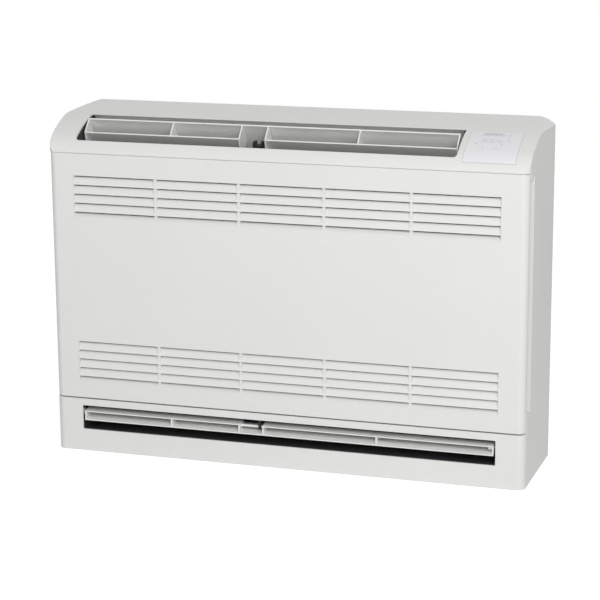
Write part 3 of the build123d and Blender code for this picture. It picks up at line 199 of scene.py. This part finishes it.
# %% [markdown]
# Nearly all that shows is moulded plastic with a fine satin grain. The grain is
# a fine noise used as bump; a second, wide noise shifts colour and gloss by a
# few parts in a hundred, as a large moulding has. A Bevel node rounds the
# shading of every edge, as a mould does.

# %% Moulded plastics
GRAIN_SCALE = 1400.0
CLOUD_SCALE = 5.0


def moulded(name, colour, roughness, grain=0.12, edge=0.0008, spread=0.02):
    recipe = Recipe(name)
    cloud = recipe.noise(CLOUD_SCALE, 3.0)
    tone = recipe.blend(cloud, shade(colour, 1.0 - spread), shade(colour, 1.0 + spread))
    fine = recipe.noise(GRAIN_SCALE)
    recipe.set(
        Base_Color=tone,
        Roughness=cloud * 0.08 + (roughness - 0.04),
        Normal=recipe.bump(fine, grain, 0.0002, edge),
    )
    return recipe.material


WARM_WHITE = (0.80, 0.80, 0.782)
finishes = {
    "casing_white": moulded("casing_white", WARM_WHITE, 0.42, edge=0.0012),
    "panel_white": moulded("panel_white", WARM_WHITE, 0.40, edge=0.001),
    "plate_white": moulded("plate_white", (0.83, 0.83, 0.855), 0.36, edge=0.0004),
    # painted light: the vanes take the casing white made seven percent lighter, to lift the shade they sit
    # in inside the outlets
    "vane_white": moulded("vane_white", shade(WARM_WHITE, 1.07), 0.40, edge=0.0006),
    "chassis_white": moulded("chassis_white", shade(WARM_WHITE, 0.88), 0.5),
    "duct_grey": moulded("duct_grey", (0.055, 0.056, 0.06), 0.55, spread=0.12),
    "black_plastic": moulded("black_plastic", (0.012, 0.012, 0.013), 0.45, spread=0.1),
    "natural_plastic": moulded("natural_plastic", (0.62, 0.60, 0.54), 0.42),
    "filter_blue": moulded("filter_blue", (0.05, 0.075, 0.11), 0.5, spread=0.08),
    "fan_grey": moulded("fan_grey", (0.05, 0.052, 0.056), 0.45, spread=0.08),
    "foam_white": moulded("foam_white", (0.68, 0.68, 0.66), 0.8, grain=0.5),
    "rubber": moulded("rubber", (0.02, 0.02, 0.02), 0.7, grain=0.3),
}
print("plastics:", sorted(finishes))

# %% [markdown]
# The window of the remote receiver and the small lamps are clear plastic, which
# looks a shade darker and glossier than the plate round it.

# %% Window and lenses
for name, colour in (("window_tint", (0.60, 0.60, 0.64)), ("lens_clear", (0.50, 0.51, 0.53))):
    recipe = Recipe(name)
    haze = recipe.noise(60.0)
    recipe.set(
        Base_Color=recipe.blend(haze, shade(colour, 0.96), shade(colour, 1.04)),
        Roughness=haze * 0.06 + 0.12,
        Normal=recipe.bump(haze, 0.02, 0.0005),
    )
    finishes[name] = recipe.material
print("clear plastics ready")

# %% [markdown]
# Inside are sheet steel, aluminium fins, copper pipes and brass nuts. Metal
# shows its making: zinc has blotches, drawn copper has stains and turned steel
# has fine lines, so each gets its own noise for colour and roughness.


# %% Metals
def metal(name, colour, roughness, blotch, stretch=(1.0, 1.0, 1.0)):
    recipe = Recipe(name)
    stretched = recipe.node("ShaderNodeMapping", inputs={"Vector": recipe.place, "Scale": stretch})
    spots = recipe.node("ShaderNodeTexNoise", inputs={"Vector": stretched, "Scale": blotch, "Detail": 4.0})
    recipe.set(
        Base_Color=recipe.blend(spots, shade(colour, 0.82), shade(colour, 1.12)),
        Metallic=1.0,
        Roughness=spots * 0.2 + (roughness - 0.1),
        Normal=recipe.bump(spots, 0.1, 0.0002, 0.0004),
    )
    return recipe.material


finishes["steel"] = metal("steel", (0.56, 0.56, 0.57), 0.32, 400.0, (1.0, 6.0, 1.0))
finishes["zinc_steel"] = metal("zinc_steel", (0.60, 0.61, 0.62), 0.38, 45.0)
finishes["copper"] = metal("copper", (0.72, 0.36, 0.22), 0.34, 70.0)
finishes["brass"] = metal("brass", (0.72, 0.54, 0.24), 0.3, 90.0)
print("metals ready")

# %% [markdown]
# The evaporator is a pack of aluminium fins less than two millimetres apart.
# A sine wave along X draws them as bump, and as painted shade in the gaps between pale fin edges.

# %% Fins and circuit boards
FIN_PITCH = 0.0016
recipe = Recipe("aluminium")
ripple = (recipe.axis("X") * (2.0 * math.pi / FIN_PITCH)).wave() * 0.5 + 0.5
recipe.set(
    # the dark colour is painted shade between the fins, the pale one is the fin edge
    Base_Color=recipe.blend(ripple, (0.16, 0.165, 0.17), (0.72, 0.73, 0.74)),
    Metallic=0.9,
    Roughness=ripple * -0.2 + 0.5,
    Normal=recipe.bump(ripple, 0.5, 0.0006),
)
finishes["aluminium"] = recipe.material

recipe = Recipe("board_green")
traces = recipe.noise(260.0, 1.0) > 0.56
recipe.set(
    Base_Color=recipe.blend(traces, (0.02, 0.12, 0.06), (0.05, 0.22, 0.11)),
    Roughness=traces * -0.1 + 0.4,
    Normal=recipe.bump(traces, 0.2, 0.0001),
)
finishes["board_green"] = recipe.material
print("fin pitch in millimetres:", FIN_PITCH * 1000)

# %% [markdown]
# The record says which finish each piece takes. The piece keeps its mesh, and
# only the material in its slot changes.

# %% Assign the finishes
slot_of = {entry["node"]: entry["material_slot"] for entry in frame["record"]["subparts"]}
for name, node in nodes.items():
    node.data.materials.clear()
    node.data.materials.append(finishes[slot_of[name]])
print("finished nodes:", len(slot_of))

# %% [markdown]
# A filter is a plastic frame with a fine net. The net shows when the front
# panel tips open. It is one thin sheet for each filter, and two waves cut the
# holes of its weave as transparency.

# %% Filter nets
NET_PITCH = 0.0018
recipe = Recipe("filter_net")
warp = (recipe.axis("X") * (2.0 * math.pi / NET_PITCH)).wave() > 0.3
weft = (recipe.axis("Z") * (2.0 * math.pi / NET_PITCH)).wave() > 0.3
threads = recipe.node("ShaderNodeMath", {"operation": "MAXIMUM"}, {0: warp, 1: weft})
recipe.set(
    Base_Color=recipe.blend(threads, (0.02, 0.025, 0.03), (0.10, 0.12, 0.15)),
    Roughness=threads * 0.2 + 0.4,
    Alpha=threads * 0.85 + 0.15,
)
finishes["filter_net"] = recipe.material


def block(name, low, high, bevel, material, body, tilt=0.0):
    """Box with rounded edges between two corners, turned about X by tilt."""
    bpy.ops.object.select_all(action="DESELECT")
    low, high = Vector(low), Vector(high)
    bpy.ops.mesh.primitive_cube_add(size=1.0, location=(low + high) / 2, rotation=(tilt, 0, 0))
    piece = bpy.context.object
    piece.name = name
    piece.scale = high - low
    bpy.ops.object.transform_apply(location=True, rotation=True, scale=True)
    rounding = piece.modifiers.new("rounding", "BEVEL")
    rounding.width = bevel
    rounding.segments = 3
    bpy.ops.object.modifier_apply(modifier=rounding.name)
    bpy.ops.object.shade_smooth_by_angle(angle=math.radians(30))
    piece.data.materials.append(material)
    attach(piece, body)
    piece.select_set(False)
    return piece


NET_EDGE = Vector((0.006, 0.0010, 0.006))
for side in ("left", "right"):
    low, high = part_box("filter_" + side)
    block(
        "filter_net_" + side,
        Vector(low) + NET_EDGE,
        Vector(high) - NET_EDGE,
        0.0001,
        finishes["filter_net"],
        "housing",
    )
print("filter nets added")

# %% [markdown]
# The control plate carries faint grey marks beside its lamps and key. They are
# printed, so each is a very thin tile that lies on the curved plate. The plate
# is an arc across the depth, so a tile's height and tilt follow from its depth.

# %% Marks on the control plate
ARC_CENTRE_Y = 0.02929
ARC_CENTRE_Z = 0.38215
ARC_RADIUS = 0.2172
MARK_THICK = 0.00012

recipe = Recipe("print_grey")
fleck = recipe.noise(900.0)
recipe.set(
    Base_Color=recipe.blend(fleck, (0.54, 0.55, 0.57), (0.60, 0.61, 0.63)),
    Roughness=fleck * 0.1 + 0.45,
)
finishes["print_grey"] = recipe.material


def on_plate(x, y):
    """Point of the plate over x and y, and its tilt about X."""
    tilt = math.asin((y - ARC_CENTRE_Y) / ARC_RADIUS)
    return Vector((x, y, ARC_CENTRE_Z + ARC_RADIUS * math.cos(tilt))), -tilt


# Each mark is a name, a centre in X and Y, a width and a depth
MARKS = [
    ("lamp_bar_left", 0.335, -0.0555, 0.007, 0.0012),
    ("lamp_bar_right", 0.365, -0.0555, 0.007, 0.0012),
    ("key_bar_left", 0.333, -0.071, 0.004, 0.0012),
    ("key_bar_right", 0.363, -0.071, 0.004, 0.0012),
    ("side_bar_1", 0.377, -0.0300, 0.007, 0.0012),
    ("side_bar_2", 0.377, -0.0335, 0.005, 0.0012),
    ("side_bar_3", 0.378, -0.0480, 0.006, 0.0012),
    ("side_bar_4", 0.378, -0.0515, 0.006, 0.0012),
]
LINE = 0.0011
for name, x, y, width, depth in (
    ("window_frame", 0.349, -0.029, 0.034, 0.0105),
    ("lamp_frame", 0.350, -0.050, 0.018, 0.0095),
):
    MARKS += [
        (name + "_rear", x, y + depth / 2, width, LINE),
        (name + "_front", x, y - depth / 2, width, LINE),
        (name + "_left", x - width / 2 - LINE, y, LINE, depth),
        (name + "_right", x + width / 2 + LINE, y, LINE, depth),
    ]
for name, x, y, width, depth in MARKS:
    place, tilt = on_plate(x, y)
    half = Vector((width, depth, MARK_THICK)) / 2
    block(
        "mark_" + name,
        place - half,
        place + half,
        MARK_THICK / 3,
        finishes["print_grey"],
        "housing",
        tilt,
    )
print("printed marks:", len(MARKS))

# %% [markdown]
# The panel closes against the cap with a small lip, which hides the dark gap
# of the seam. It is part of the panel, so it rides with it.

# %% Lip over the panel seam
block(
    "panel_top_lip",
    (-0.418, -0.1043, 0.5399),
    (0.418, -0.0965, 0.54075),
    0.0002,
    finishes["panel_white"],
    "panel",
)
print("lip added")

# %% [markdown]
# The two front vanes leave a gap in the middle, where a black yoke holds the
# louvre. Its two cheeks and the bridge between them stand on the bearing.

# %% Yoke of the upper bearing
YOKE_Y = (-0.0570, -0.0430)
YOKE_Z = (0.5515, 0.5665)
for name, left, right, top in (
    ("yoke_cheek_left", -0.0645, -0.0605, YOKE_Z[1]),
    ("yoke_cheek_right", -0.0505, -0.0465, YOKE_Z[1]),
    ("yoke_bridge", -0.0605, -0.0505, YOKE_Z[1] - 0.006),
):
    block(
        name,
        (left, YOKE_Y[0], YOKE_Z[0]),
        (right, YOKE_Y[1], top),
        0.0008,
        finishes["black_plastic"],
        "housing",
    )
print("yoke height in millimetres:", round((YOKE_Z[1] - YOKE_Z[0]) * 1000, 1))

# %% [markdown]
# Behind the wide vane the casing curves down as a shallow trough, so that the
# vane can swing without leaving a dark slot. The trough is one thin sheet: a
# flat grid is wrapped round the axis of the louvre and then given a thickness.

# %% Trough behind the upper vane
TROUGH_X = (-0.3765, 0.2935)
TROUGH_AXIS = (-0.0452, 0.5450)
TROUGH_RADIUS = 0.0593
TROUGH_ANGLES = (math.radians(20.0), math.radians(52.5))
TROUGH_STEPS = 16
bpy.ops.mesh.primitive_grid_add(x_subdivisions=1, y_subdivisions=TROUGH_STEPS, size=1.0)
trough = bpy.context.object
trough.name = "upper_trough"
for vertex in trough.data.vertices:
    across, along = vertex.co.x + 0.5, vertex.co.y + 0.5
    angle = TROUGH_ANGLES[0] + along * (TROUGH_ANGLES[1] - TROUGH_ANGLES[0])
    vertex.co = (
        TROUGH_X[0] + across * (TROUGH_X[1] - TROUGH_X[0]),
        TROUGH_AXIS[0] + TROUGH_RADIUS * math.cos(angle),
        TROUGH_AXIS[1] + TROUGH_RADIUS * math.sin(angle),
    )
sheet = trough.modifiers.new("sheet", "SOLIDIFY")
sheet.thickness = 0.0010
sheet.offset = -1.0
bpy.ops.object.modifier_apply(modifier=sheet.name)
bpy.ops.object.shade_smooth_by_angle(angle=math.radians(30))
trough.data.materials.append(finishes["casing_white"])
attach(trough, "housing")
trough.select_set(False)
reach = [math.hypot(v.co.y - TROUGH_AXIS[0], v.co.z - TROUGH_AXIS[1]) for v in trough.data.vertices]
print("trough radius in millimetres:", round(min(reach) * 1000, 1), round(max(reach) * 1000, 1))

# %% [markdown]
# The set is a plain studio: a wide pale floor, white all round and one large
# soft lamp above the front. The world lights the object at a grey level and
# shows white only to the camera and to mirrors, so nothing is overexposed.

# %% Floor, world and lamps
WORLD_LEVEL = 0.41
FLOOR_WHITE = 0.45

bpy.ops.mesh.primitive_plane_add(size=60.0, location=(0.0, 0.0, -0.0002))
floor = bpy.context.object
floor.name = "studio_floor"
floor_material = bpy.data.materials.new("studio_floor")
floor_material.use_nodes = True
tree = floor_material.node_tree
floor_shader = tree.nodes["Principled BSDF"]
floor_shader.inputs["Base Color"].default_value = (0.86, 0.86, 0.86, 1.0)
floor_shader.inputs["Roughness"].default_value = 0.9
glow = tree.nodes.new("ShaderNodeEmission")
glow.inputs["Color"].default_value = (1.0, 1.0, 1.0, 1.0)
glow.inputs["Strength"].default_value = 1.73
rays = tree.nodes.new("ShaderNodeLightPath")
share = tree.nodes.new("ShaderNodeMath")
share.operation = "MULTIPLY"
share.inputs[1].default_value = FLOOR_WHITE
mixer = tree.nodes.new("ShaderNodeMixShader")
tree.links.new(rays.outputs["Is Camera Ray"], share.inputs[0])
tree.links.new(share.outputs[0], mixer.inputs[0])
tree.links.new(floor_shader.outputs[0], mixer.inputs[1])
tree.links.new(glow.outputs[0], mixer.inputs[2])
tree.links.new(mixer.outputs[0], tree.nodes["Material Output"].inputs["Surface"])
floor.data.materials.append(floor_material)

world = bpy.data.worlds.new("studio")
bpy.context.scene.world = world
world.use_nodes = True
tree = world.node_tree
sky = tree.nodes["Background"]
sky.inputs["Color"].default_value = (1.0, 1.0, 1.0, 1.0)
sky.inputs["Strength"].default_value = WORLD_LEVEL
white = tree.nodes.new("ShaderNodeBackground")
white.inputs["Color"].default_value = (1.0, 1.0, 1.0, 1.0)
white.inputs["Strength"].default_value = 1.0
rays = tree.nodes.new("ShaderNodeLightPath")
seen = tree.nodes.new("ShaderNodeMath")
seen.operation = "MAXIMUM"
mirrored = tree.nodes.new("ShaderNodeMath")
mirrored.operation = "MAXIMUM"
mixer = tree.nodes.new("ShaderNodeMixShader")
tree.links.new(rays.outputs["Is Glossy Ray"], mirrored.inputs[0])
tree.links.new(rays.outputs["Is Transmission Ray"], mirrored.inputs[1])
tree.links.new(rays.outputs["Is Camera Ray"], seen.inputs[0])
tree.links.new(mirrored.outputs[0], seen.inputs[1])
tree.links.new(seen.outputs[0], mixer.inputs[0])
tree.links.new(sky.outputs[0], mixer.inputs[1])
tree.links.new(white.outputs[0], mixer.inputs[2])
tree.links.new(mixer.outputs[0], tree.nodes["World Output"].inputs["Surface"])


def soft_lamp(name, place, target, size, power):
    """Square area lamp that faces a target."""
    lamp_data = bpy.data.lights.new(name, "AREA")
    lamp_data.shape = "SQUARE"
    lamp_data.size = size
    lamp_data.energy = power
    lamp = bpy.data.objects.new(name, lamp_data)
    bpy.context.scene.collection.objects.link(lamp)
    lamp.location = place
    lamp.rotation_euler = (Vector(target) - Vector(place)).to_track_quat("-Z", "Y").to_euler()


soft_lamp("key_lamp", (1.70, -3.22, 2.50), (0.0, 0.0, 0.3), 2.4, 88.0)
soft_lamp("fill_lamp", (0.2, -3.8, 0.7), (0.0, 0.0, 0.3), 1.2, 8.0)
print("studio ready")
